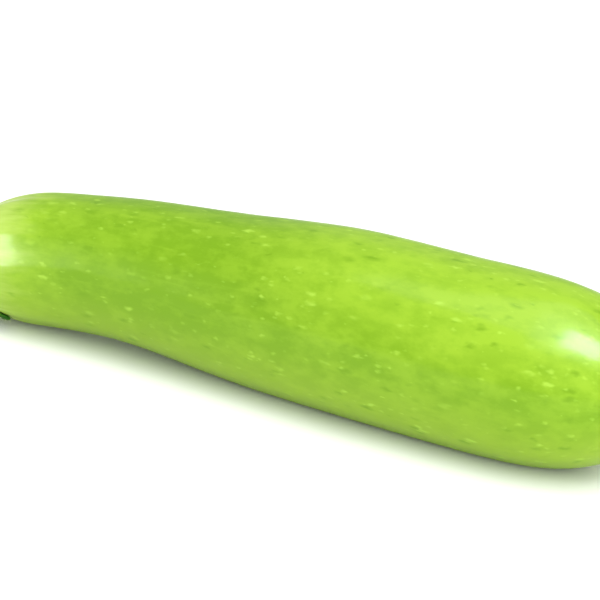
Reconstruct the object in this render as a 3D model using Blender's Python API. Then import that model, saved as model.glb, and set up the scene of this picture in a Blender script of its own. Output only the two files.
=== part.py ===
"""A pale green zucchini as picked: one smooth fruit, and the ribbed dark green stem stub it was cut with.

The fruit lies along X with its stem end at -X, resting on the plane z = 0. Both solids are sphere primitives
whose rings are moved by formulas: a turned outline, five lobes that fade from the shoulder to the belly, and
a slight bend.
"""
import math

import bmesh
import bpy
from mathutils import Vector

# Fruit, in metres. "Along" is the distance from the fruit's stem end, before the fruit is set on its origin.
FRUIT_LENGTH = 0.179
NECK_RADIUS = 0.0167
BELLY_RADIUS = 0.0221
NECK_END = 0.022
BELLY_START = 0.113
STEM_CAP = 0.024
STEM_CAP_POWER = 2.25
BLOSSOM_CAP = 0.040
BLOSSOM_CAP_POWER = 2.6

# The fruit is bent in plan, most of all towards its neck, which also arches off the surface that it rests on.
PLAN_BEND = 0.0022
BEND_SKEW = 2.7
NECK_ARCH = 0.0030
ARCH_PLACE = 0.042
ARCH_WIDTH = 0.0265
REST_DEPTH = 0.0011
STRAIGHT_STEP = 0.001

# Grooves run down the shoulder at these angles, in degrees from +Y towards +Z. The stem's ribs stand on them.
GROOVES = (92, 162, 240, 300, 378)
GROOVE_SHOULDER = 0.095
GROOVE_BELLY = 0.012
GROOVE_FADE = 0.017

# The corky scar that the flower left: a low lip around a shallow dish with a small knob in its middle.
SCAR_RADII = (0.0060, 0.0051, 0.0043, 0.0028, 0.0013, 0.0)
SCAR_HEIGHTS = (0.0, 0.00040, 0.00010, -0.00035, -0.00030, 0.00015)

# Stem stub, in metres. "Out" is the distance from the fruit's stem end, away from the fruit.
STEM_OUT = 0.0215
STUB_RADIUS = 0.0082
WAIST_OUT = 0.0080
CUT_FLARE = 0.0011
RIB_DEPTH = 0.34
RIB_SHARPNESS = 1.15
MINOR_RIB = 0.22
MINOR_RIB_WIDTH = 0.10
STEM_TWIST = math.radians(9)
TWIST_POWER = 1.5
STEM_LIFT = 0.0030
STEM_FORWARD = 0.0022
CUT_SLANT = 0.13
SLANT_START = 0.4
CUT_DISH = 0.0009
CUT_BEVEL = 0.0006
RIB_CREASE = math.radians(50)

# The stem's foot is a star over the shoulder: its rim lies at these shares of the shoulder's quarter turn.
RIM_AT_GROOVES = (0.56, 0.62, 0.885, 0.64, 0.60)
RIM_AT_LOBE = 0.42
RIM_ROUNDNESS = 2.0
RIM_THICKNESS = 0.0008
JOINT_GAP = 0.0003
FOOT_REACH = 0.42
WAIST_REACH = 0.50
SLOPE_STEP = 0.01

# How finely the two meshes are cut.
COLUMNS_PER_LOBE = 8
COLUMNS = len(GROOVES) * COLUMNS_PER_LOBE
SHOULDER_RINGS = 10
BARREL_RINGS = 15
BLOSSOM_RINGS = 9
CUT_RINGS = 3
STUB_RINGS = 5
FLARE_RINGS = 6
SEAT_RINGS = 8

COLOURS = {"fruit": (0.36, 0.62, 0.05, 1), "stem": (0.045, 0.19, 0.02, 1)}
ROUGHNESS = {"fruit": 0.35, "stem": 0.6}


def smoothstep(share):
    share = min(1.0, max(0.0, share))
    return share * share * (3 - 2 * share)


def column(index):
    """(angle, lobe, place in it from 0 to 1) of a column; places 0 and 1 are the grooves beside the lobe."""
    lobe, step = divmod(index % COLUMNS, COLUMNS_PER_LOBE)
    start = GROOVES[lobe]
    end = GROOVES[(lobe + 1) % len(GROOVES)] + (360 if lobe == len(GROOVES) - 1 else 0)
    place = step / COLUMNS_PER_LOBE
    return math.radians(start + (end - start) * place), lobe, place


def barrel_radius(along):
    widened = smoothstep((along - NECK_END) / (BELLY_START - NECK_END))
    return NECK_RADIUS + (BELLY_RADIUS - NECK_RADIUS) * widened


def lobed(along, place):
    """What the radius is multiplied by: under 1 in a groove, deepest at the shoulder."""
    depth = GROOVE_BELLY + (GROOVE_SHOULDER - GROOVE_BELLY) * math.exp(-((max(along, 0) / GROOVE_FADE) ** 2))
    return 1 - depth * (1 - math.sin(math.pi * place)) ** 2


def on_shoulder(share):
    """(along, radius) on the stem-end cap, at a share of its quarter turn from the pole."""
    turn = share * math.pi / 2
    power = 2 / STEM_CAP_POWER
    along = STEM_CAP * (1 - math.cos(turn) ** power)
    return along, NECK_RADIUS * math.sin(turn) ** power


def on_blossom_cap(share):
    """(along, radius) on the blossom-end cap, at a share of its quarter turn from the belly."""
    turn = share * math.pi / 2
    power = 2 / BLOSSOM_CAP_POWER
    along = FRUIT_LENGTH - BLOSSOM_CAP * (1 - math.sin(turn) ** power)
    return along, BELLY_RADIUS * math.cos(turn) ** power


def blossom_end_at(radius):
    """How far along the blossom-end cap has this radius."""
    inside = 1 - (radius / BELLY_RADIUS) ** BLOSSOM_CAP_POWER
    return FRUIT_LENGTH - BLOSSOM_CAP * (1 - inside ** (1 / BLOSSOM_CAP_POWER))


def fruit_outline():
    """(along, radius) of each ring, from the stem end's pole to the scar's middle."""
    shoulder = [on_shoulder(i / SHOULDER_RINGS) for i in range(SHOULDER_RINGS + 1)]
    barrel_end = FRUIT_LENGTH - BLOSSOM_CAP
    step = (barrel_end - STEM_CAP) / BARREL_RINGS
    barrel = [(STEM_CAP + step * i, barrel_radius(STEM_CAP + step * i)) for i in range(1, BARREL_RINGS)]
    cap = [on_blossom_cap(i / (BLOSSOM_RINGS + 1)) for i in range(BLOSSOM_RINGS)]
    scar = [(blossom_end_at(radius) + height, radius) for radius, height in zip(SCAR_RADII, SCAR_HEIGHTS)]
    return shoulder + barrel + cap + scar


def fruit_middle(along):
    """The fruit's centreline: how far to +Y, and how high. Before the stem end it runs on straight."""
    if along < 0:
        here, further = fruit_middle(0), fruit_middle(STRAIGHT_STEP)
        return here + (further - here) * along / STRAIGHT_STEP
    share = 2 * along / FRUIT_LENGTH - 1
    bend = PLAN_BEND * (1 - share * share) * (1 - BEND_SKEW * share)
    arch = NECK_ARCH * math.exp(-(((along - ARCH_PLACE) / ARCH_WIDTH) ** 2))
    return Vector((bend, barrel_radius(along) + arch - REST_DEPTH))


def fruit_point(along, radius, index):
    angle, _, place = column(index)
    radius *= lobed(along, place)
    y, z = fruit_middle(along)
    return Vector((along, y + radius * math.cos(angle), z + radius * math.sin(angle)))


def fruit_vertex(outline, ring, index):
    """A vertex of the fruit. The underside is pressed flat where the fruit rests."""
    point = fruit_point(*outline[ring], index)
    point.z = max(0.0, point.z)
    return point


def ribbed(place):
    """The stem's cross-section between two ribs: near 1 on a rib, 0 in a valley, with a minor rib midway."""
    minor = MINOR_RIB * math.exp(-(((place - 0.5) / MINOR_RIB_WIDTH) ** 2))
    return 1 - math.sin(math.pi * place) ** RIB_SHARPNESS + minor


def stub_radius(out, place):
    widened = CUT_FLARE * smoothstep((out - WAIST_OUT) / (STEM_OUT - WAIST_OUT)) ** 2
    return (STUB_RADIUS + widened) * (1 + RIB_DEPTH * (ribbed(place) - 0.5))


def rim_share(lobe, place):
    """Where the foot's rim crosses this column: out on the two grooves, drawn in over the lobe in one arc."""
    ends = RIM_AT_GROOVES[lobe], RIM_AT_GROOVES[(lobe + 1) % len(GROOVES)]
    chord = ends[0] + (ends[1] - ends[0]) * place
    return chord - (chord - RIM_AT_LOBE) * math.sin(math.pi * place) ** RIM_ROUNDNESS


def above_shoulder(share, place, lift):
    """(along, radius) at a height above the fruit's shoulder, square to it."""
    here, further = on_shoulder(share), on_shoulder(min(1.0, share + SLOPE_STEP))
    here = Vector((here[0], here[1] * lobed(here[0], place)))
    further = Vector((further[0], further[1] * lobed(further[0], place)))
    slope = (further - here).normalized()
    return here + Vector((-slope.y, slope.x)) * lift, slope


def flare(share, lobe, place):
    """(along, radius) on the stem's foot, from its rim (0) to the waist (1), as one Bezier curve."""
    rim, slope = above_shoulder(rim_share(lobe, place), place, JOINT_GAP + RIM_THICKNESS)
    waist = Vector((-WAIST_OUT, stub_radius(WAIST_OUT, place)))
    reach = (rim - waist).length
    handles = rim, rim - slope * reach * FOOT_REACH, waist + Vector((reach * WAIST_REACH, 0)), waist
    weights = (1 - share) ** 3, 3 * share * (1 - share) ** 2, 3 * share**2 * (1 - share), share**3
    return sum((handle * weight for handle, weight in zip(handles, weights)), Vector((0, 0)))


def stem_section(lobe, place):
    """(along, radius) of each ring of the stem in one column, from the cut's middle to the seat's middle."""
    edge = stub_radius(STEM_OUT, place)
    cut = []
    for i in range(CUT_RINGS + 1):
        share = i / CUT_RINGS
        cut.append(Vector((-STEM_OUT + CUT_DISH * (1 - share * share), (edge - CUT_BEVEL) * share)))
    stub = []
    for i in range(STUB_RINGS):
        out = STEM_OUT - CUT_BEVEL - (STEM_OUT - CUT_BEVEL - WAIST_OUT) * i / STUB_RINGS
        stub.append(Vector((-out, stub_radius(out, place))))
    foot = [flare(1 - i / FLARE_RINGS, lobe, place) for i in range(FLARE_RINGS + 1)]
    seat = []
    for i in range(SEAT_RINGS + 1):
        share = rim_share(lobe, place) * (1 - i / SEAT_RINGS)
        seat.append(above_shoulder(share, place, JOINT_GAP)[0])
    seat[-1] = Vector((-JOINT_GAP, 0))
    return cut + stub + foot + seat


def stem_point(along, radius, index):
    """A point of the stem. The stub twists, lifts and comes forward towards its cut, which is slanted."""
    angle = column(index)[0]
    share = max(0.0, -along / STEM_OUT)
    angle += STEM_TWIST * share**TWIST_POWER
    y, z = fruit_middle(along)
    y += radius * math.cos(angle) - STEM_FORWARD * share**2
    z += radius * math.sin(angle) + STEM_LIFT * share**2
    slant = CUT_SLANT * radius * math.sin(angle) * smoothstep((share - SLANT_START) / (1 - SLANT_START))
    return Vector((along + slant, y, z))


def shaped_sphere(name, rings, place):
    """An object made from a sphere primitive: each vertex goes where place(ring, column) says."""
    shape = bmesh.new()
    bmesh.ops.create_uvsphere(shape, u_segments=COLUMNS, v_segments=rings - 1, radius=1)
    for vertex in shape.verts:
        ring = round(math.acos(max(-1.0, min(1.0, vertex.co.z))) / math.pi * (rings - 1))
        index = round(math.atan2(vertex.co.y, vertex.co.x) / (2 * math.pi) * COLUMNS) % COLUMNS
        vertex.co = place(ring, index)
    shape.normal_update()
    bmesh.ops.recalc_face_normals(shape, faces=shape.faces)
    mesh = bpy.data.meshes.new(name)
    shape.to_mesh(mesh)
    shape.free()
    mesh.shade_smooth()
    return bpy.data.objects.new(name, mesh)


def make_fruit():
    outline = fruit_outline()

    def place(ring, index):
        return fruit_vertex(outline, ring, index)

    return shaped_sphere("fruit", len(outline), place)


def make_stem():
    sections = [stem_section(*column(index)[1:]) for index in range(COLUMNS)]

    def place(ring, index):
        return stem_point(*sections[index][ring], index)

    stem = shaped_sphere("stem", len(sections[0]), place)
    stem.data.set_sharp_from_angle(angle=RIB_CREASE)
    return stem


def material(name):
    made = bpy.data.materials.new(name)
    made.use_nodes = True
    shader = made.node_tree.nodes["Principled BSDF"]
    shader.inputs["Base Color"].default_value = COLOURS[name]
    shader.inputs["Roughness"].default_value = ROUGHNESS[name]
    shader.inputs["Metallic"].default_value = 0
    return made


def clear_scene():
    for old in list(bpy.data.objects):
        bpy.data.objects.remove(old)


def set_on_origin(parts):
    """Moves the parts together, so that the origin is the middle of their box in plan, where they rest."""
    places = [vertex.co for part in parts for vertex in part.data.vertices]
    middle = [(min(p[axis] for p in places) + max(p[axis] for p in places)) / 2 for axis in (0, 1)]
    for part in parts:
        for vertex in part.data.vertices:
            vertex.co -= Vector((middle[0], middle[1], 0))


def main():
    clear_scene()
    collection = bpy.data.collections.new("zucchini")
    bpy.context.scene.collection.children.link(collection)
    parts = make_fruit(), make_stem()
    set_on_origin(parts)
    for part in parts:
        part.data.materials.append(material(part.name))
        collection.objects.link(part)


main()
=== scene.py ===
# %% [markdown]
# # A pale green zucchini
#
# The solids of this fruit and its stem are already made. They are plain, with one flat colour each.
# Here they get what the eye looks for: a waxy skin with pale flecks, a fibrous bristly stem, a moist
# cut and a corky scar. The imported model is loaded first and stays fixed, so every new piece is
# placed from it.

# %% Load the imported model
import math

import bmesh
import bpy
import numpy as np
from mathutils import Matrix, Vector, noise
from mathutils.bvhtree import BVHTree


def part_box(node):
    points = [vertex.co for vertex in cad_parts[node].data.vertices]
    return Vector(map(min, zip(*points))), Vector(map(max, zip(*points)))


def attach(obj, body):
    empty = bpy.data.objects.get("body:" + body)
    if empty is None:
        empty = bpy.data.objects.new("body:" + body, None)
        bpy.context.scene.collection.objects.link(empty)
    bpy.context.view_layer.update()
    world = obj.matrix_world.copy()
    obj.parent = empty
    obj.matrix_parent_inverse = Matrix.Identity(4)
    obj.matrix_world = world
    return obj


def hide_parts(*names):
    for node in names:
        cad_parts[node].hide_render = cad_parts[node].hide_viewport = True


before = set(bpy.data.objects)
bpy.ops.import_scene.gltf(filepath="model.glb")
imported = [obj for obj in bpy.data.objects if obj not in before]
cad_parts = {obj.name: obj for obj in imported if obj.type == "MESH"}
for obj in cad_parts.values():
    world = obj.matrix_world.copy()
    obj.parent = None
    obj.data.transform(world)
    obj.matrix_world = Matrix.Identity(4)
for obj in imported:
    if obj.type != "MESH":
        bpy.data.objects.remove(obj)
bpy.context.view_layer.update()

fruit_low, fruit_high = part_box("fruit")
stem_low, stem_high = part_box("stem")

# %% [markdown]
# ## The camera
#
# A long lens from a little over half a metre flattens the fruit as a product photograph does. The
# camera stands to the right of the fruit's middle, looks down at it, and is turned a little about its
# own axis, so that the fruit slopes down to the right although it lies flat. It is framed closely:
# both ends run out of the picture. A camera could be aimed by a constraint, but three plain angles
# can be read and changed.

# %% Place the camera
CAMERA_AZIMUTH = 23.08
CAMERA_ELEVATION = 20
CAMERA_ROLL = 5.47
CAMERA_DISTANCE = 0.62
CAMERA_FOCAL = 158.9
SENSOR_WIDTH = 36
NEAREST_SEEN = 0.01
LOOK_AT = Vector((0, 0, 0.021))
LOOK_RIGHT = 0.01132
LOOK_UP = -0.00042


def aim(azimuth, elevation, roll):
    """The axes (right, up, back) of something that looks at the fruit from these angles in degrees."""
    azimuth, elevation, roll = (math.radians(angle) for angle in (azimuth, elevation, roll))
    right = Vector((math.cos(azimuth), math.sin(azimuth), 0))
    level = Vector((math.sin(azimuth), -math.cos(azimuth), 0))
    back = level * math.cos(elevation) + Vector((0, 0, math.sin(elevation)))
    up = back.cross(right)
    rolled_right = right * math.cos(roll) + up * math.sin(roll)
    rolled_up = up * math.cos(roll) - right * math.sin(roll)
    return rolled_right, rolled_up, back


def set_up(item, place, right, up, back):
    item.matrix_world = Matrix.Translation(place) @ Matrix((right, up, back)).transposed().to_4x4()


camera = bpy.data.objects.new("camera", bpy.data.cameras.new("camera"))
bpy.context.scene.collection.objects.link(camera)
camera.data.lens = CAMERA_FOCAL
camera.data.sensor_width = SENSOR_WIDTH
camera.data.clip_start = NEAREST_SEEN
right, up, back = aim(CAMERA_AZIMUTH, CAMERA_ELEVATION, CAMERA_ROLL)
set_up(camera, LOOK_AT + back * CAMERA_DISTANCE + right * LOOK_RIGHT + up * LOOK_UP, right, up, back)
bpy.context.scene.camera = camera
bpy.context.scene.view_settings.view_transform = "Standard"
print("camera at", [round(c, 3) for c in camera.matrix_world.translation])

# %% [markdown]
# ## The floor and the tent
#
# The fruit lies on white paper, inside a white tent. The paper sends light back up under the belly,
# which is why the underside stays bright. A tent could be modelled, but a world that is evenly bright
# does the same. The floor is one large face, so that its edge never shows. Its finish has only
# constant values, which two small helpers set and put on a piece. Every later finish uses them too.

# %% Lay the floor and raise the tent
FLOOR_HALF = 3.0
PAPER_WHITE = (0.93, 0.93, 0.93, 1)
TENT_WHITE = (1, 1, 1, 1)
TENT_STRENGTH = 0.54


def new_finish(name, **sockets):
    """(material, tree, shader) of a new material whose constant sockets are set here."""
    material = bpy.data.materials.new(name)
    material.use_nodes = True
    shader = material.node_tree.nodes["Principled BSDF"]
    for socket, value in sockets.items():
        shader.inputs[socket.replace("_", " ")].default_value = value
    return material, material.node_tree, shader


def dress(piece, material):
    piece.data.materials.append(material)
    print(piece.name, "wears", material.name, "of", len(material.node_tree.nodes), "nodes")


floor_shape = bmesh.new()
bmesh.ops.create_grid(floor_shape, x_segments=1, y_segments=1, size=FLOOR_HALF)
floor = bpy.data.objects.new("floor", bpy.data.meshes.new("floor"))
floor_shape.to_mesh(floor.data)
floor_shape.free()
bpy.context.scene.collection.objects.link(floor)
paper, _, _ = new_finish("white_paper", Base_Color=PAPER_WHITE, Roughness=0.9, Specular_IOR_Level=0.1)
dress(floor, paper)

world = bpy.data.worlds.new("tent")
world.use_nodes = True
world.node_tree.nodes["Background"].inputs["Color"].default_value = TENT_WHITE
world.node_tree.nodes["Background"].inputs["Strength"].default_value = TENT_STRENGTH
bpy.context.scene.world = world

# %% [markdown]
# ## The lamps
#
# Large soft lamps hang overhead, in front and behind. Two small softboxes make the two bright patches
# that tell the eye that the skin is waxy. The large lamps alone could make the fruit shine, but not
# just there. So each softbox is placed, turned and sized so that only its own part of the skin mirrors
# it into the camera. The right one is cooler than the other lamps, and has a dim glow around it.
#
# A lamp can be left out of the matt or of the mirrored part of the light. The softboxes are left out
# of the matt part, which stays even along the fruit. The matt light they would give the neck and the
# upper front is painted into the skin's green instead. The lamps in front and behind are left out of
# the mirrored part, in which they would veil the green.

# %% Hang the lamps
WHITE = (1, 1, 1)
COOL_WHITE = (0.62, 0.80, 1.0)


def lamp(name, target, azimuth, elevation, distance, size, brightness,
         roll=0, shift=(0, 0), matt=True, gloss=True, colour=WHITE):
    """A soft rectangle that faces its target and is then shifted in its own plane.

    Its power follows from its size and from how bright its face looks.
    """
    made = bpy.data.objects.new(name, bpy.data.lights.new(name, "AREA"))
    made.data.shape = "RECTANGLE"
    made.data.size, made.data.size_y = size
    made.data.energy = brightness * math.pi * size[0] * size[1]
    made.data.color = colour
    made.visible_camera = False
    made.visible_diffuse = matt
    made.visible_glossy = gloss
    bpy.context.scene.collection.objects.link(made)
    right, up, back = aim(azimuth, elevation, roll)
    set_up(made, target + back * distance + right * shift[0] + up * shift[1], right, up, back)
    print(name, "gives", round(made.data.energy, 2), "W")


middle = Vector((0, 0, 0))
lamp("lamp_above", middle, 60, 78, distance=1.1, size=(1.2, 1.2), brightness=2.63)
lamp("lamp_in_front", middle, 40, 30, distance=1.3, size=(1.7, 1.3), brightness=2.54, gloss=False)
lamp("lamp_behind", middle, 180, 40, distance=1.2, size=(1.4, 0.7), brightness=0.46, gloss=False)

shoulder = Vector((fruit_low.x + 0.016, -0.011, 0.026))
lamp("softbox_left", shoulder, -41.8, 15.3, distance=0.131, size=(0.037, 0.085), brightness=21.0,
     roll=30, matt=False)

blossom_end = Vector((fruit_high.x - 0.016, -0.012, 0.034))
on_the_right = {"roll": -40, "shift": (0.052, -0.020), "matt": False, "colour": COOL_WHITE}
lamp("glow_right", blossom_end, 42, 68, distance=0.41, size=(0.46, 0.42), brightness=2.6, **on_the_right)
lamp("softbox_right", blossom_end, 42, 68, distance=0.4, size=(0.225, 0.190), brightness=33.5,
     **on_the_right)

# %% [markdown]
# ## A working copy of the fruit
#
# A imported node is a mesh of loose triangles, and it stays as it is. To refine a surface, its
# triangles are copied, welded, and paired back into four-sided faces, which divide far more smoothly
# than triangles do. The division itself is a Subdivision Surface modifier, whose result is kept as a
# plain mesh so that later steps can shape it.

# %% Copy the fruit as four-sided faces
WELD = 0.00001
PAIR_ANGLE = math.radians(60)
SKIN_LEVELS = 3


def quads_of(node_name):
    shape = bmesh.new()
    shape.from_mesh(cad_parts[node_name].data)
    bmesh.ops.remove_doubles(shape, verts=shape.verts, dist=WELD)
    bmesh.ops.join_triangles(
        shape, faces=shape.faces, angle_face_threshold=PAIR_ANGLE, angle_shape_threshold=PAIR_ANGLE
    )
    sides = [len(face.verts) for face in shape.faces]
    print(node_name, "copied:", sides.count(4), "quads and", sides.count(3), "triangles")
    return shape


def new_piece(name, shape):
    mesh = bpy.data.meshes.new(name)
    shape.to_mesh(mesh)
    shape.free()
    mesh.materials.clear()
    piece = bpy.data.objects.new(name, mesh)
    bpy.context.scene.collection.objects.link(piece)
    return piece


def run_modifier(piece, kind, **settings):
    """Runs one modifier on a piece and keeps the result as the piece's mesh."""
    modifier = piece.modifiers.new(kind.lower(), kind)
    for name, value in settings.items():
        setattr(modifier, name, value)
    graph = bpy.context.evaluated_depsgraph_get()
    coarse = piece.data
    piece.data = bpy.data.meshes.new_from_object(piece.evaluated_get(graph))
    piece.modifiers.clear()
    bpy.data.meshes.remove(coarse)
    piece.data.name = piece.name
    piece.data.shade_smooth()
    print(piece.name, "has", len(piece.data.polygons), "faces")


skin = new_piece("fruit_skin", quads_of("fruit"))
run_modifier(skin, "SUBSURF", levels=SKIN_LEVELS, render_levels=SKIN_LEVELS)

# %% [markdown]
# ## A place on the surface
#
# Streaks and fibres follow the fruit, and not the axes of space. So each point also stores a place
# that a finish can read: how far along the piece it is, and which way it faces from the middle line.
# That way is kept as a cosine and a sine, because an angle would jump at the end of its turn. A fine
# surface has tens of thousands of points, so they are read from the mesh as one array.

# %% Keep each point's place on the skin
SLICE = 0.002
TINY = 1e-6


def points_of(mesh, what="co"):
    values = np.empty(len(mesh.vertices) * 3)
    mesh.vertices.foreach_get(what, values)
    return values.reshape(-1, 3)


def middle_line(points, step):
    """(x, y, z) arrays of the middle of each slice of these points, along X."""
    slices = np.round((points[:, 0] - points[:, 0].min()) / step).astype(int)
    rows = [points[slices == number] for number in np.unique(slices)]
    middles = [[row[:, 0].mean(), *((row[:, 1:].min(0) + row[:, 1:].max(0)) / 2)] for row in rows]
    return np.array(middles).T


def off_line(points, line):
    """(across, above): how far each point lies from the middle line, in Y and in Z."""
    across = points[:, 1] - np.interp(points[:, 0], line[0], line[1])
    above = points[:, 2] - np.interp(points[:, 0], line[0], line[2])
    return across, above


def around(points, line):
    """(cosine, sine) of each point's angle about the middle line."""
    across, above = off_line(points, line)
    reach = np.maximum(np.hypot(across, above), TINY)
    return across / reach, above / reach


def keep_place(mesh, name, *columns):
    """Stores three numbers for each point, which a finish can read as a place on the surface."""
    attribute = mesh.attributes.new(name, "FLOAT_VECTOR", "POINT")
    attribute.data.foreach_set("vector", np.stack(columns, 1).astype(np.float32).ravel())


skin_points = points_of(skin.data)
skin_line = middle_line(skin_points, SLICE)
keep_place(skin.data, "skin_place", skin_points[:, 0] - fruit_low.x, *around(skin_points, skin_line))

# %% [markdown]
# ## The fruit's skin
#
# A zucchini is never a perfect turned shape. Its surface swells and dips by a fraction of a
# millimetre, which is what breaks up the edge of each highlight. Sculpting could do this, but not
# the same way twice. So each point is pushed along its own normal, mostly inwards, by smooth noise at
# three sizes. The flat underside is left alone, because the fruit rests there.

# %% Model the skin
SWELLS = ((0.034, 0.00022), (0.013, 0.00007), (0.0045, 0.000018))
SWELL_OFFSET = Vector((7, 3, 1))
MOSTLY_INWARD = 0.5
REST_CLEAR = 0.004


def smoothstep(value, low, high):
    share = np.clip((value - low) / (high - low), 0, 1)
    return share * share * (3 - 2 * share)


def swell(points, size, offset):
    """Smooth noise between about -1 and 1 at each point, whose bumps are about this size."""
    return np.array([noise.noise(Vector(point) / size + offset) for point in points])


def move_points(mesh, points):
    mesh.vertices.foreach_set("co", points.ravel())
    mesh.update()


push = sum(depth * (swell(skin_points, size, SWELL_OFFSET) - MOSTLY_INWARD) for size, depth in SWELLS)
push *= smoothstep(skin_points[:, 2], 0.0, REST_CLEAR)
swollen = skin_points + points_of(skin.data, "normal") * push[:, None]
move_points(skin.data, swollen)
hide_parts("fruit")
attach(skin, "root")

# %% [markdown]
# ## Patches and mottles
#
# Close up, the green is not one green: broad soft patches and fine mottles go lighter or deeper. They
# could be painted on an image, but a pattern worked out from the piece's own coordinates has no seams
# and no pixels, and stays with the fruit from every side. Its scale says how many cells of noise fit
# in a metre along each axis. In the editor each shader node is placed and wired by hand. Here one
# helper adds a node with all its inputs in a line.

# %% Raise the patches and mottles
PATCH_CELLS, PATCH_BAND, PATCH_TONE = (28, 45, 45), (0.32, 0.68), 0.16
MOTTLE_CELLS, MOTTLE_BAND, MOTTLE_TONE = (150, 260, 260), (0.33, 0.67), 0.24


def node(tree, kind, inputs=None, **settings):
    """Adds a shader node. An input is given by its name or number, as a value or as a socket to link."""
    made = tree.nodes.new(kind)
    for name, value in settings.items():
        setattr(made, name, value)
    for name, value in (inputs or {}).items():
        if isinstance(value, bpy.types.NodeSocket):
            tree.links.new(value, made.inputs[name])
        else:
            made.inputs[name].default_value = value
    return made


def object_place(tree, scale, shift=(0, 0, 0)):
    """The piece's own coordinates, stretched: a larger scale along an axis is a finer pattern along it."""
    coordinates = node(tree, "ShaderNodeTexCoord").outputs["Object"]
    inputs = {"Vector": coordinates, "Scale": scale, "Location": shift}
    return node(tree, "ShaderNodeMapping", inputs).outputs[0]


def cloud(tree, place, detail=3.0, rough=0.5):
    """Soft noise. Most of it lies between 0.3 and 0.7."""
    inputs = {"Vector": place, "Scale": 1.0, "Detail": detail, "Roughness": rough}
    return node(tree, "ShaderNodeTexNoise", inputs).outputs["Fac"]


def ramp(tree, value, low, high, start=0.0, end=1.0):
    """Maps low..high to start..end, smoothly, and holds it beyond them."""
    inputs = {"Value": value, "From Min": low, "From Max": high, "To Min": start, "To Max": end}
    return node(tree, "ShaderNodeMapRange", inputs, interpolation_type="SMOOTHSTEP").outputs["Result"]


skin_finish, tree, shader = new_finish(
    "waxy_green_skin", Roughness=0.4, IOR=1.4, Coat_Weight=0.31, Coat_Roughness=0.17, Specular_IOR_Level=0.04
)
patches = ramp(tree, cloud(tree, object_place(tree, PATCH_CELLS)), *PATCH_BAND, -PATCH_TONE, PATCH_TONE)
mottles = cloud(tree, object_place(tree, MOTTLE_CELLS), detail=4.0, rough=0.65)
mottles = ramp(tree, mottles, *MOTTLE_BAND, -MOTTLE_TONE, MOTTLE_TONE)

# %% [markdown]
# ## The green of the skin
#
# Painted light: the upper front, towards the lamps, is painted lighter from the middle of the fruit
# on, and so is the neck, where the softboxes give no matt light. Painted reflection: the underside is
# painted a greyer, yellower green, as the white floor mirrored in it would make it. Faint streaks run
# from stem to blossom end. Each could be a colour of its own. Instead one number, the tone, adds up
# all that goes lighter or deeper, and then mixes two greens, so that the colours stay few and in
# keeping.

# %% Mix the green
SKIN_DEEP = (0.152, 0.304, 0.008, 1)
SKIN_LIGHT = (0.252, 0.428, 0.023, 1)
# Painted reflection: the underside's greyer, yellower green, as the white floor mirrored in it makes it.
SKIN_FLOOR_SHEEN = (0.262, 0.400, 0.028, 1)
SKIN_STREAK = (0.300, 0.490, 0.030, 1)
BASE_TONE = 0.14
# Painted light: where the upper front is painted lighter, and by how much, in place of the lamps' light.
LIT_SIDE, LIT_FACING, LIT_ALONG, LIT_TONE = (0, -0.42, 0.907), (0.30, 0.95), (0.060, 0.116), 0.72
# Painted light: how far along the neck is painted lighter, and by how much, for the softbox light it lacks.
NECK_LIGHT_ALONG, NECK_LIGHT_TONE = (0.020, 0.044), 0.5
# Painted reflection: how far up the underside the floor's painted reflection reaches, and how strong it is.
FLOOR_SHEEN_FACING, FLOOR_SHEEN_STRENGTH = (-0.9, 0.1), 0.75
STREAK_CELLS, STREAK_BAND, STREAK_STRENGTH = (34, 10, 10), (0.52, 0.82), 0.2


def surface_place(tree, name, scale=(1, 1, 1)):
    """The place that was stored on the surface: (along or out, cosine, sine), stretched."""
    place = node(tree, "ShaderNodeAttribute", attribute_name=name).outputs["Vector"]
    return node(tree, "ShaderNodeMapping", {"Vector": place, "Scale": scale}).outputs[0]


def math_node(tree, operation, *values, **settings):
    return node(tree, "ShaderNodeMath", dict(enumerate(values)), operation=operation, **settings).outputs[0]


def blend(tree, share, first, second):
    """Mixes two colours: the second where share is 1. Of a mix node, these are the colour sockets."""
    return node(tree, "ShaderNodeMix", {0: share, 6: first, 7: second}, data_type="RGBA").outputs[2]


place = surface_place(tree, "skin_place")
along, _, above = node(tree, "ShaderNodeSeparateXYZ", {0: place}).outputs
towards_light = node(tree, "ShaderNodeVectorMath", {0: place, 1: LIT_SIDE}, operation="DOT_PRODUCT").outputs["Value"]
# Painted light on the upper front, from the middle of the fruit on.
painted_light = math_node(tree, "MULTIPLY", ramp(tree, towards_light, *LIT_FACING), ramp(tree, along, *LIT_ALONG))
tone = math_node(tree, "MULTIPLY_ADD", painted_light, LIT_TONE, BASE_TONE)
tone = math_node(tree, "ADD", tone, patches)
# Painted light on the neck.
tone = math_node(tree, "ADD", tone, ramp(tree, along, *NECK_LIGHT_ALONG, NECK_LIGHT_TONE, 0.0))
tone = math_node(tree, "ADD", tone, mottles, use_clamp=True)
green = blend(tree, tone, SKIN_DEEP, SKIN_LIGHT)
# Painted reflection of the floor on the underside.
green = blend(tree, ramp(tree, above, *FLOOR_SHEEN_FACING, FLOOR_SHEEN_STRENGTH, 0.0), green, SKIN_FLOOR_SHEEN)
streaks = cloud(tree, surface_place(tree, "skin_place", STREAK_CELLS), detail=4.0, rough=0.62)
green = blend(tree, ramp(tree, streaks, *STREAK_BAND, 0.0, STREAK_STRENGTH), green, SKIN_STREAK)
print("the green takes", len(tree.nodes), "nodes")

# %% [markdown]
# ## The pale shoulder
#
# Near the stem the skin pales, and the pale runs out along the fruit in ragged streaks. It is partly
# painted light: towards the end it is made stronger, as a painted halo around the left highlight and
# for the softbox light that the neck does not get. A straight fade would look like a painted ring. So
# the distance from the stem end is made longer or shorter by streaks of noise before it is faded.

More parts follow.
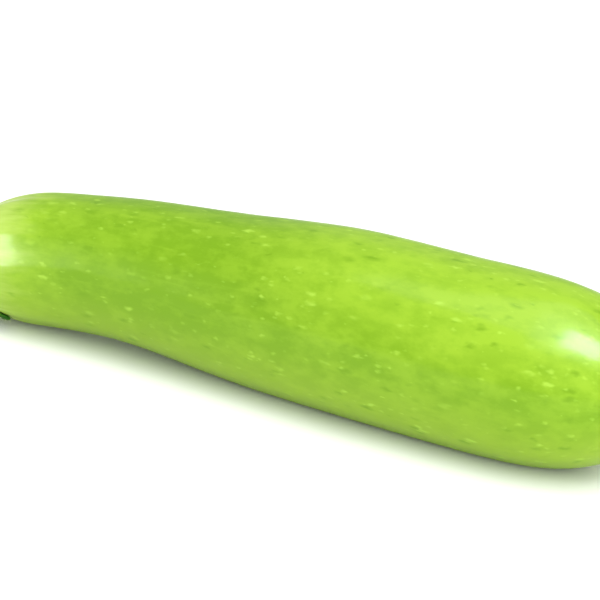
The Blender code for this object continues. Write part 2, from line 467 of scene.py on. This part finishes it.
# %% Fade the shoulder
# Partly the skin's own pale near the stem, partly painted light: a halo around the left highlight.
SKIN_PALE_AND_GLOW = (0.460, 0.610, 0.130, 1)
SHOULDER_CELLS = (60, 6, 6)
SHOULDER_RAGGED = 0.018
SHOULDER_FADE = (-0.004, 0.017)

ragged = cloud(tree, surface_place(tree, "skin_place", SHOULDER_CELLS), rough=0.6)
reach = math_node(tree, "MULTIPLY_ADD", ragged, -SHOULDER_RAGGED, along)
# The pale shoulder, partly painted light.
green = blend(tree, ramp(tree, reach, *SHOULDER_FADE, 1.0, 0.0), green, SKIN_PALE_AND_GLOW)

# %% [markdown]
# ## Flecks
#
# Small pale flecks lie all over the skin, drawn out a little along the fruit. They are the middles of
# Voronoi cells. Such a pattern gives each cell a random colour and tells how far a place is from the
# cell's middle. The colour draws the lot for whether the cell has a fleck, and how large. Round spots
# would look printed, so the place is shaken by noise first, which gives each an uneven edge.

# %% Scatter the flecks
FLECK_CELLS = (170, 390, 390)
FLECK_RADIUS = 0.37
CENTRE = (0.5, 0.5, 0.5)
THINNEST_EDGE = 0.001


def spots(tree, place, share, largest, edge=0.35):
    """1 inside a spot, else 0. This share of the cells has one, up to this radius in cells."""
    inputs = {"Vector": place, "Scale": 1.0, "Randomness": 1.0}
    cells = node(tree, "ShaderNodeTexVoronoi", inputs, feature="F1")
    lot = node(tree, "ShaderNodeSeparateColor", {0: cells.outputs["Color"]}).outputs[0]
    radius = ramp(tree, lot, 1 - share, 1.0, 0.0, largest)
    soft = math_node(tree, "MULTIPLY", radius, edge)
    inner = math_node(tree, "SUBTRACT", radius, soft)
    beyond = math_node(tree, "SUBTRACT", cells.outputs["Distance"], inner)
    faded = math_node(tree, "DIVIDE", beyond, math_node(tree, "MAXIMUM", soft, THINNEST_EDGE))
    return ramp(tree, faded, 0.0, 1.0, 1.0, 0.0)


def shaken(tree, place, size, amount):
    """A place shaken a little, so that round spots get uneven edges."""
    inputs = {"Vector": place, "Scale": size, "Detail": 1.0}
    shake = node(tree, "ShaderNodeTexNoise", inputs).outputs["Color"]
    centred = node(tree, "ShaderNodeVectorMath", {0: shake, 1: CENTRE}, operation="SUBTRACT").outputs[0]
    scaled = node(tree, "ShaderNodeVectorMath", {0: centred, "Scale": amount}, operation="SCALE").outputs[0]
    return node(tree, "ShaderNodeVectorMath", {0: place, 1: scaled}, operation="ADD").outputs[0]


fleck_place = shaken(tree, object_place(tree, FLECK_CELLS), size=2.5, amount=0.45)
flecks = spots(tree, fleck_place, share=0.9, largest=FLECK_RADIUS, edge=0.8)

# %% [markdown]
# ## Painted shade beside the flecks, and finer flecks
#
# Many flecks have painted shade beside them, a darker spot as on the shaded side of a small raised
# fleck, and finer flecks fill the space between. Both come in loose crowds. The painted shade could
# have cells of its own, but it would then stray from its fleck. So it uses the cells of the flecks,
# moved by a part of a cell. The pale shoulder has no painted shade.

# %% Add the painted shade beside the flecks, and the finer flecks
FLECK = (0.350, 0.570, 0.058, 1)
# Painted shade: the darker spot beside each fleck.
FLECK_SHADE = (0.115, 0.255, 0.004, 1)
BESIDE_FLECK = (0.25, -0.35, 0.4)
FLECK_SHADE_ALONG = (0.006, 0.024)
FINE_CELLS, FINE_SHIFT = (330, 650, 650), (5, 9, 2)
CROWD_CELLS, CROWD_SHIFT, CROWD_BAND, LEAST_CROWD = (60, 85, 85), (1, 4, 2), (0.38, 0.60), 0.35
FLECK_SHADE_STRENGTH, FINE_STRENGTH, FLECK_STRENGTH = 0.68, 0.42, 0.66

# Painted shade: the flecks' cells, moved a part of a cell to one side.
fleck_shade_place = shaken(tree, object_place(tree, FLECK_CELLS, BESIDE_FLECK), size=2.0, amount=0.6)
fleck_shades = spots(tree, fleck_shade_place, share=0.85, largest=0.46, edge=0.95)
fleck_shades = math_node(tree, "MULTIPLY", fleck_shades, ramp(tree, along, *FLECK_SHADE_ALONG))
fine_place = shaken(tree, object_place(tree, FINE_CELLS, FINE_SHIFT), size=2.5, amount=0.5)
fine_flecks = spots(tree, fine_place, share=0.75, largest=0.40, edge=0.85)
crowds = cloud(tree, object_place(tree, CROWD_CELLS, CROWD_SHIFT), detail=2.0)
crowds = ramp(tree, crowds, *CROWD_BAND, LEAST_CROWD, 1.0)
layers = (
    (fleck_shades, FLECK_SHADE_STRENGTH, FLECK_SHADE), (fine_flecks, FINE_STRENGTH, FLECK), (flecks, FLECK_STRENGTH, FLECK)
)
for share, strength, colour in layers:
    share = math_node(tree, "MULTIPLY", share, math_node(tree, "MULTIPLY", crowds, strength))
    green = blend(tree, share, green, colour)
tree.links.new(green, shader.inputs["Base Color"])
print("the skin's colour takes", len(tree.nodes), "nodes")

# %% [markdown]
# ## The wax
#
# The skin wears a thin wax: a clear coat over a duller body, set with the constant values of its
# finish. Its gloss varies from place to place, is duller on a fleck, and is broken by pores. Pores
# could be modelled, but they are finer than the faces. So they are a pattern that only tilts the
# light, which a bump node does.

# %% Give the skin its gloss
GLOSS_CELLS, GLOSS_SHIFT, GLOSS_BAND = (90, 140, 140), (2, 2, 2), (0.3, 0.7)
ROUGHNESS_RANGE = (0.34, 0.46)
FLECK_DULLER = 0.12
FLECK_HEIGHT = 0.5
PORE_CELLS = (900, 1300, 1300)
PORE_HEIGHT = 0.35


def fine_relief(tree, shader, height, strength, distance):
    """Lets a pattern tilt the light on a surface, as relief that is too fine to model would."""
    bump = node(tree, "ShaderNodeBump", {"Strength": strength, "Distance": distance, "Height": height})
    tree.links.new(bump.outputs[0], shader.inputs["Normal"])


dullness = cloud(tree, object_place(tree, GLOSS_CELLS, GLOSS_SHIFT))
dullness = ramp(tree, dullness, *GLOSS_BAND, *ROUGHNESS_RANGE)
dullness = math_node(tree, "MULTIPLY_ADD", flecks, FLECK_DULLER, dullness)
tree.links.new(dullness, shader.inputs["Roughness"])
pores = cloud(tree, object_place(tree, PORE_CELLS), rough=0.6)
pores = math_node(tree, "MULTIPLY", pores, PORE_HEIGHT)
height = math_node(tree, "MULTIPLY_ADD", flecks, FLECK_HEIGHT, pores)
fine_relief(tree, shader, height, strength=0.35, distance=0.00012)
dress(skin, skin_finish)

# %% [markdown]
# ## The stem
#
# The stem is what is left of the stalk that the fruit hung from: five strong ribs, each the end of a
# groove in the fruit's shoulder, with fine fibres between them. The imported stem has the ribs. The
# copy is divided as finely as the skin, and its points get a place about the stem's own middle line.
# The slices of the whole stem could give that line, but the foot spreads unevenly. So a straight line
# is fitted to the stub alone, without its two end slices, which are cut short.

# %% Copy the stem and find its middle line
STEM_LEVELS = 3
STUB_SHARE = 0.6

stem = new_piece("stem_rind", quads_of("stem"))
run_modifier(stem, "SUBSURF", levels=STEM_LEVELS, render_levels=STEM_LEVELS)
stem_points = points_of(stem.data)
stem_normals = points_of(stem.data, "normal")
stub = stem_points[stem_points[:, 0] < stem_low.x + STUB_SHARE * (fruit_low.x - stem_low.x)]
stub_line = middle_line(stub, SLICE)
lean, start = np.polyfit(stub_line[0][1:-1], stub_line[1:, 1:-1].T, 1)
stem_x = np.array([stem_low.x, stem_high.x])
stem_line = np.array([stem_x, lean[0] * stem_x + start[0], lean[1] * stem_x + start[1]])
stem_cosine, stem_sine = around(stem_points, stem_line)
keep_place(stem.data, "rind_place", stem_points[:, 0] - stem_low.x, stem_cosine, stem_sine)
print("the stem leans by", round(math.degrees(math.atan(np.hypot(*lean))), 1), "degrees")

# %% [markdown]
# ## The stem's foot and fibres
#
# The foot is grown into the shoulder. It could be joined to the skin, but they are two pieces. So it
# is pressed down until its rim sinks in: each point near the skin moves towards the nearest place on
# it. The fibres are ridges pushed out of the surface, a tenth of a millimetre high. Noise folded at
# its middle makes a sharp crest, and it is stretched along the stem so that the crests run that way.
# The cut has no fibres.

# %% Press the foot and raise the fibres
PRESS = 0.00042
PRESS_FADE = (0.0006, 0.0016)
FIBRE_HEIGHT = 0.00016
FIBRE_SHARPNESS = 2.2
FIBRE_MIDDLE = 0.6
FIBRES = 11.0
FIBRE_RUN = 0.030
FIBRES_OFF_SKIN = (0.0008, 0.003)
CUT_FACING = (0.75, 0.95)

skin_faces = [tuple(face.vertices) for face in skin.data.polygons]
skin_tree = BVHTree.FromPolygons([Vector(point) for point in swollen], skin_faces)
nearest = np.array([skin_tree.find_nearest(Vector(point))[0] for point in stem_points])
toward = nearest - stem_points
away = np.linalg.norm(toward, axis=1)
press = PRESS * (1 - smoothstep(away, *PRESS_FADE))
sunk = toward / np.maximum(away, TINY)[:, None] * press[:, None]

fibre_place = np.stack([stem_points[:, 0] / FIBRE_RUN, stem_cosine * FIBRES, stem_sine * FIBRES], 1)
fibres = np.array([1 - abs(noise.noise(Vector(spot))) * FIBRE_SHARPNESS for spot in fibre_place])
bare = smoothstep(away, *FIBRES_OFF_SKIN) * (1 - smoothstep(-stem_normals[:, 0], *CUT_FACING))
raised = stem_normals * (FIBRE_HEIGHT * (fibres - FIBRE_MIDDLE) * bare)[:, None]
move_points(stem.data, stem_points + sunk + raised)
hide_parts("stem")
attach(stem, "root")

# %% [markdown]
# ## The finish of the stem
#
# The rind is a deep green with lighter fibres along it, and a scatter of tiny pale points where
# bristles stood. It could be one flat dark green, but then only the ribs would tell what it is. The
# fibres' colour reads the same stored place as their ridges, so the two run together.

# %% Mix the rind's finish
RIND_DARK = (0.009, 0.070, 0.002, 1)
RIND_GREEN = (0.026, 0.135, 0.004, 1)
RIND_FIBRE = (0.085, 0.240, 0.016, 1)
RIND_POINT = (0.30, 0.48, 0.14, 1)
RIND_CELLS, RIND_BAND = (120, 160, 160), (0.3, 0.7)
THREAD_CELLS, THREAD_BAND, THREAD_STRENGTH = (55, 11, 11), (0.46, 0.72), 0.8
POINT_CELLS, POINT_STRENGTH = (900, 1400, 1400), 0.5

rind_finish, tree, shader = new_finish("fibrous_dark_rind", Roughness=0.6, Specular_IOR_Level=0.18)
tone = ramp(tree, cloud(tree, object_place(tree, RIND_CELLS)), *RIND_BAND)
green = blend(tree, tone, RIND_DARK, RIND_GREEN)
threads = cloud(tree, surface_place(tree, "rind_place", THREAD_CELLS), detail=4.0, rough=0.65)
green = blend(tree, ramp(tree, threads, *THREAD_BAND, 0.0, THREAD_STRENGTH), green, RIND_FIBRE)
pale_points = spots(tree, object_place(tree, POINT_CELLS), share=0.35, largest=0.3)
green = blend(tree, math_node(tree, "MULTIPLY", pale_points, POINT_STRENGTH), green, RIND_POINT)
tree.links.new(green, shader.inputs["Base Color"])
fine_relief(tree, shader, threads, strength=0.5, distance=0.0002)
dress(stem, rind_finish)

# %% [markdown]
# ## Where the bristles stand
#
# The stalk of a zucchini is prickly. The hairs stand on its ribs, with few in the valleys and none on
# the cut or against the skin. A particle system could scatter them, but its hairs are not a mesh. So
# their places are drawn from the rind's own faces, from a fixed seed: the larger a face is and the
# further it stands off from the middle line, the likelier it is drawn.

# %% Draw the bristles' places
BRISTLES = 460
BRISTLE_SEED = 11
BRISTLE_LENGTHS = (0.00035, 0.0010)
RIB_STAND_OFF = (0.0045, 0.0100)
CLEAR_OF_SKIN = 0.0008
CLEAR_OF_CUT = 0.0012
MOST_CUTWARD = -0.6


def face_values(mesh, what, width=3):
    values = np.empty(len(mesh.polygons) * width)
    mesh.polygons.foreach_get(what, values)
    return values.reshape(-1, width)


face_middles = face_values(stem.data, "center")
face_normals = face_values(stem.data, "normal")
first_corners = np.array([face.vertices[0] for face in stem.data.polygons])
stand_off = np.hypot(*off_line(face_middles, stem_line))
weights = face_values(stem.data, "area", 1)[:, 0] * smoothstep(stand_off, *RIB_STAND_OFF)
weights *= (away[first_corners] > CLEAR_OF_SKIN) & (face_normals[:, 0] > MOST_CUTWARD)
weights *= face_middles[:, 0] > stem_low.x + CLEAR_OF_CUT
draw = np.random.default_rng(BRISTLE_SEED)
chosen = draw.choice(len(weights), BRISTLES, replace=False, p=weights / weights.sum())
lengths = draw.uniform(*BRISTLE_LENGTHS, BRISTLES)

# %% [markdown]
# ## The bristles
#
# Each hair is short and stiff, thick at the root, and leans away from the fruit. It could be a curve
# with a thickness, but there are hundreds, and from a hand's breadth off each is a speck. So each is a
# cone with few sides, and its root is sunk a little into the rind.

# %% Model the bristles
BRISTLE_SIDES = 5
BRISTLE_RADIUS = 0.00008
BRISTLE_TIP = 0.000015
BRISTLE_LEAN = 0.55
BRISTLE_SINK = 0.00005

bristle_shape = bmesh.new()
for number, length in zip(chosen, lengths):
    direction = (Vector(face_normals[number]) + Vector((-BRISTLE_LEAN, 0, 0))).normalized()
    halfway = Vector(face_middles[number]) + direction * (length / 2 - BRISTLE_SINK)
    stance = Matrix.Translation(halfway) @ direction.to_track_quat("Z", "Y").to_matrix().to_4x4()
    bmesh.ops.create_cone(bristle_shape, cap_ends=True, segments=BRISTLE_SIDES, depth=length,
                          radius1=BRISTLE_RADIUS, radius2=BRISTLE_TIP, matrix=stance)
bristles = new_piece("stem_bristles", bristle_shape)
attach(bristles, "root")
print("bristles:", BRISTLES, "cones,", len(bristles.data.polygons), "faces")

# %% [markdown]
# ## The finish of the bristles
#
# Dry hairs are pale, nearly the colour of straw, with some still green at heart. A finish for each
# would be far too many. A noise finer than their spacing gives each its own tone.

# %% Mix the bristles' finish
BRISTLE_GREEN = (0.24, 0.40, 0.11, 1)
BRISTLE_STRAW = (0.62, 0.66, 0.38, 1)
BRISTLE_CELLS, BRISTLE_BAND = (700, 700, 700), (0.35, 0.65)

bristle_finish, tree, shader = new_finish("straw_bristle", Roughness=0.55, Specular_IOR_Level=0.3)
tone = ramp(tree, cloud(tree, object_place(tree, BRISTLE_CELLS), detail=1.0), *BRISTLE_BAND)
tree.links.new(blend(tree, tone, BRISTLE_GREEN, BRISTLE_STRAW), shader.inputs["Base Color"])
dress(bristles, bristle_finish)

# %% [markdown]
# ## A patch for the cut face
#
# The stem was cut with a knife, and shows its moist flesh: a spongy pith, a ring of bundles that
# carried the sap, and the green rind around them. The flesh could be a separate disc, but a disc would
# not follow the ribs. So it is a patch copied from the surface that it lies on. Each of its points
# stores how far out it is, from 0 in the centre to 1 on the edge, so that rings follow the outline.

# %% Copy the cut face
CUT_FACES = -0.88
CUT_WITHIN = 0.004


def patch_of(piece, wanted):
    """A copy of those faces of a piece for which wanted(middle, normal) holds."""
    shape = bmesh.new()
    shape.from_mesh(piece.data)
    others = [face for face in shape.faces if not wanted(face.calc_center_median(), face.normal)]
    bmesh.ops.delete(shape, geom=others, context="FACES")
    return shape


def edge_reach(shape, centre):
    """How far a flat patch across X reaches from its centre, as a function of the angle about it."""
    rim = np.array([vertex.co.yz for vertex in shape.verts if vertex.is_boundary]) - centre
    angles = np.arctan2(rim[:, 1], rim[:, 0])
    order = np.argsort(angles)

    def reach(angle):
        return np.interp(angle, angles[order], np.hypot(*rim.T)[order], period=2 * math.pi)

    return reach


def place_on_patch(piece, centre, reach):
    """(0 in the centre to 1 on the edge, cosine, sine) of each point, also stored for the finish."""
    spread = points_of(piece.data)[:, 1:] - centre
    distance = np.maximum(np.hypot(*spread.T), TINY)
    share = np.clip(distance / reach(np.arctan2(spread[:, 1], spread[:, 0])), 0, 1)
    cosine, sine = (spread / distance[:, None]).T
    keep_place(piece.data, "patch_place", share, cosine, sine)
    return share, cosine, sine


def on_cut(middle, normal):
    return normal.x < CUT_FACES and middle.x < stem_low.x + CUT_WITHIN


cut_shape = patch_of(stem, on_cut)
cut_centre = np.array([vertex.co.yz for vertex in cut_shape.verts]).mean(0)
cut_reach = edge_reach(cut_shape, cut_centre)
cut_face = new_piece("stem_cut_face", cut_shape)
cut_share, cut_cosine, cut_sine = place_on_patch(cut_face, cut_centre, cut_reach)
print("the cut has", len(cut_face.data.polygons), "of the stem's", len(stem.data.polygons), "faces")

# %% [markdown]
# ## The bundles
#
# The bundles stand in an uneven ring. Their places could be typed in, but three dozen drawn from a
# fixed seed look grown. How near a point is to one is stored, so that the finish can darken the same
# places that the relief raises.

# %% Set out the bundles
BUNDLES = 36
BUNDLE_SEED = 3
BUNDLE_STRAY = 0.35
BUNDLE_RING = (0.58, 0.82)
BUNDLE_RADIUS = 0.00055


def near_bundle(points, centre, reach):
    """1 in the middle of a bundle, 0 outside them all."""
    draw = np.random.default_rng(BUNDLE_SEED)
    strays = draw.uniform(-BUNDLE_STRAY, BUNDLE_STRAY, BUNDLES)
    angles = (np.arange(BUNDLES) + strays) * 2 * math.pi / BUNDLES
    reaches = draw.uniform(*BUNDLE_RING, BUNDLES) * reach(angles)
    places = centre + reaches[:, None] * np.stack([np.cos(angles), np.sin(angles)], 1)
    nearest = np.linalg.norm(points[:, None, 1:] - places, axis=2).min(1)
    return 1 - smoothstep(nearest, 0, BUNDLE_RADIUS)


bundle = near_bundle(points_of(cut_face.data), cut_centre, cut_reach)
bundle_kept = cut_face.data.attributes.new("bundle", "FLOAT", "POINT")
bundle_kept.data.foreach_set("value", bundle.astype(np.float32))
print(BUNDLES, "bundles cover", round(100 * (bundle > 0).mean()), "% of the cut's points")

# %% [markdown]
# ## The cut's relief
#
# The knife leaves faint rays, the bundles stand up as small bosses, and the pith dries a little
# hollow. Each could be a pattern that only tilts the light, but a hollow shows in the outline. So
# each is a term of one height, and the patch is then given a thickness. The height stands a little
# proud of the stem, to cover the rind beneath, and fades out towards the edge.

# %% Raise the cut face
PATCH_THICKNESS = 0.0004
PATCH_FADE = (0.86, 1.0)
CUT_PROUD = 0.00030
RAY_CELLS = (2, 9, 9)
RAY_OFFSET = Vector((3, 3, 3))
RAY_HEIGHT = 0.00004
BUNDLE_HEIGHT = 0.00012
PITH_HOLLOW = 0.00018
PITH_SHARE = (0.15, 0.40)


def finish_patch(piece, share, lift):
    """Raises each point of a patch by its lift, which fades at the edge, and makes the patch solid."""
    lift = lift * (1 - smoothstep(share, *PATCH_FADE))
    move_points(piece.data, points_of(piece.data) + points_of(piece.data, "normal") * lift[:, None])
    run_modifier(piece, "SOLIDIFY", thickness=PATCH_THICKNESS, offset=-1.0)
    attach(piece, "root")


ray_place = np.stack([cut_share, cut_cosine, cut_sine], 1) * RAY_CELLS
lift = CUT_PROUD + RAY_HEIGHT * swell(ray_place, 1.0, RAY_OFFSET) + BUNDLE_HEIGHT * bundle
lift -= PITH_HOLLOW * (1 - smoothstep(cut_share, *PITH_SHARE))
finish_patch(cut_face, cut_share, lift)

# %% [markdown]
# ## The finish of the cut face
#
# A fresh cut is pale in the middle, where the pith is, greener towards the rind, and has begun to
# brown in places. A picture of a cut could be laid on it, but it would never fit this outline. The
# rings read how far out a point is, and the bundles read what was stored with their relief. A thin
# clear coat is the moisture.

# %% Mix the cut face's finish
CUT_PITH = (0.56, 0.62, 0.32, 1)
CUT_FLESH = (0.40, 0.54, 0.15, 1)
CUT_BUNDLE = (0.13, 0.30, 0.04, 1)
CUT_RIND = (0.050, 0.200, 0.015, 1)
CUT_DRY = (0.42, 0.33, 0.15, 1)
RING_UNEVEN, FLESH_FROM, RIND_FROM = 0.16, (0.30, 0.46), (0.86, 0.95)
RAY_BAND, RAY_STRENGTH = (0.5, 0.8), 0.4
DRY_CELLS, DRY_BAND, DRY_STRENGTH = (260, 260, 260), (0.52, 0.75), 0.6
BUNDLE_BAND, BUNDLE_STRENGTH = (0.15, 0.55), 0.85
HEART_BAND, HEART_STRENGTH = (0.70, 0.95), 0.7
SPONGE_CELLS = (2200, 2200, 2200)

cut_finish, tree, shader = new_finish(
    "moist_cut_tissue", Roughness=0.45, Coat_Weight=0.3, Coat_Roughness=0.25
)
out = node(tree, "ShaderNodeSeparateXYZ", {0: surface_place(tree, "patch_place")}).outputs[0]
rays = cloud(tree, surface_place(tree, "patch_place", RAY_CELLS), rough=0.6)
inward = math_node(tree, "SUBTRACT", out, RING_UNEVEN / 2)
ring = math_node(tree, "MULTIPLY_ADD", rays, RING_UNEVEN, inward)
tissue = blend(tree, ramp(tree, ring, *FLESH_FROM), CUT_PITH, CUT_FLESH)
tissue = blend(tree, ramp(tree, rays, *RAY_BAND, 0.0, RAY_STRENGTH), tissue, CUT_PITH)
browned = cloud(tree, object_place(tree, DRY_CELLS))
tissue = blend(tree, ramp(tree, browned, *DRY_BAND, 0.0, DRY_STRENGTH), tissue, CUT_DRY)
near = node(tree, "ShaderNodeAttribute", attribute_name="bundle").outputs["Fac"]
tissue = blend(tree, ramp(tree, near, *BUNDLE_BAND, 0.0, BUNDLE_STRENGTH), tissue, CUT_BUNDLE)
tissue = blend(tree, ramp(tree, near, *HEART_BAND, 0.0, HEART_STRENGTH), tissue, CUT_PITH)
tissue = blend(tree, ramp(tree, ring, *RIND_FROM), tissue, CUT_RIND)
tree.links.new(tissue, shader.inputs["Base Color"])
sponge = cloud(tree, object_place(tree, SPONGE_CELLS), rough=0.7)
fine_relief(tree, shader, sponge, strength=0.5, distance=0.00015)
dress(cut_face, cut_finish)

# %% [markdown]
# ## The flower's scar
#
# At the other end the flower dropped off and left a dry scar of cork, which cracks as the fruit swells
# under it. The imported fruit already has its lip, dish and knob. The crust could be sculpted on them,
# but noise without its sign makes it at once: rounded scales that meet in cracks, with a finer noise
# on top as the grain of the cork. It is a patch too, so it fits the fruit.

# %% Model the scar
SCAR_SLICE = 0.0015
SCAR_WITHIN = 0.006
SCAR_REACH = 0.0062
SCAR_PROUD = 0.00005
CRUST_SIZE, CRUST_HEIGHT, CRUST_OFFSET = 0.0011, 0.00028, Vector((4, 4, 4))
GRAIN_SIZE, GRAIN_HEIGHT, GRAIN_OFFSET = 0.0004, 0.00005, Vector((6, 1, 3))

end_points = skin_points[skin_points[:, 0] > fruit_high.x - SCAR_SLICE]
scar_centre = (end_points[:, 1:].min(0) + end_points[:, 1:].max(0)) / 2


def on_scar(middle, normal):
    return middle.x > fruit_high.x - SCAR_WITHIN and math.dist(middle.yz, scar_centre) < SCAR_REACH


scar_shape = patch_of(skin, on_scar)
scar_reach = edge_reach(scar_shape, scar_centre)
scar = new_piece("blossom_scar_cork", scar_shape)
scar_share, _, _ = place_on_patch(scar, scar_centre, scar_reach)
crust = np.abs(swell(points_of(scar.data), CRUST_SIZE, CRUST_OFFSET))
grain = swell(points_of(scar.data), GRAIN_SIZE, GRAIN_OFFSET)
lift = SCAR_PROUD + CRUST_HEIGHT * crust + GRAIN_HEIGHT * grain
finish_patch(scar, scar_share, lift)

# %% [markdown]
# ## The finish of the scar
#
# Dry cork is tan, darker in its cracks and in the middle, paler where a scale has dried out. Its edge
# could end in a clean ring, but it grows into the green. So the distance from the centre is made
# uneven by the same noise that colours the cork, and the last stretch takes the skin's own green.

# %% Mix the scar's finish
CORK_TAN = (0.42, 0.33, 0.13, 1)
CORK_DARK = (0.13, 0.085, 0.03, 1)
CORK_PALE = (0.58, 0.52, 0.30, 1)
CORK_RIM = (0.33, 0.42, 0.08, 1)
CORK_CELLS, TAN_BAND, PALE_BAND = (700, 900, 900), (0.35, 0.62), (0.58, 0.76)
MIDDLE_BAND, MIDDLE_STRENGTH = (0.10, 0.42), 0.7
EDGE_UNEVEN, RIM_FROM, GREEN_FROM = 0.45, (0.76, 0.90), (0.88, 1.0)

scar_finish, tree, shader = new_finish("dry_cork", Roughness=0.8, Specular_IOR_Level=0.25)
out = node(tree, "ShaderNodeSeparateXYZ", {0: surface_place(tree, "patch_place")}).outputs[0]
scales = cloud(tree, object_place(tree, CORK_CELLS), detail=4.0, rough=0.7)
cork = blend(tree, ramp(tree, scales, *TAN_BAND), CORK_DARK, CORK_TAN)
cork = blend(tree, ramp(tree, scales, *PALE_BAND), cork, CORK_PALE)
cork = blend(tree, ramp(tree, out, *MIDDLE_BAND, MIDDLE_STRENGTH, 0.0), cork, CORK_DARK)
inward = math_node(tree, "SUBTRACT", out, EDGE_UNEVEN / 2)
edge = math_node(tree, "MULTIPLY_ADD", scales, EDGE_UNEVEN, inward)
cork = blend(tree, ramp(tree, edge, *RIM_FROM), cork, CORK_RIM)
cork = blend(tree, ramp(tree, edge, *GREEN_FROM), cork, SKIN_LIGHT)
tree.links.new(cork, shader.inputs["Base Color"])
fine_relief(tree, shader, scales, strength=0.6, distance=0.0002)
dress(scar, scar_finish)
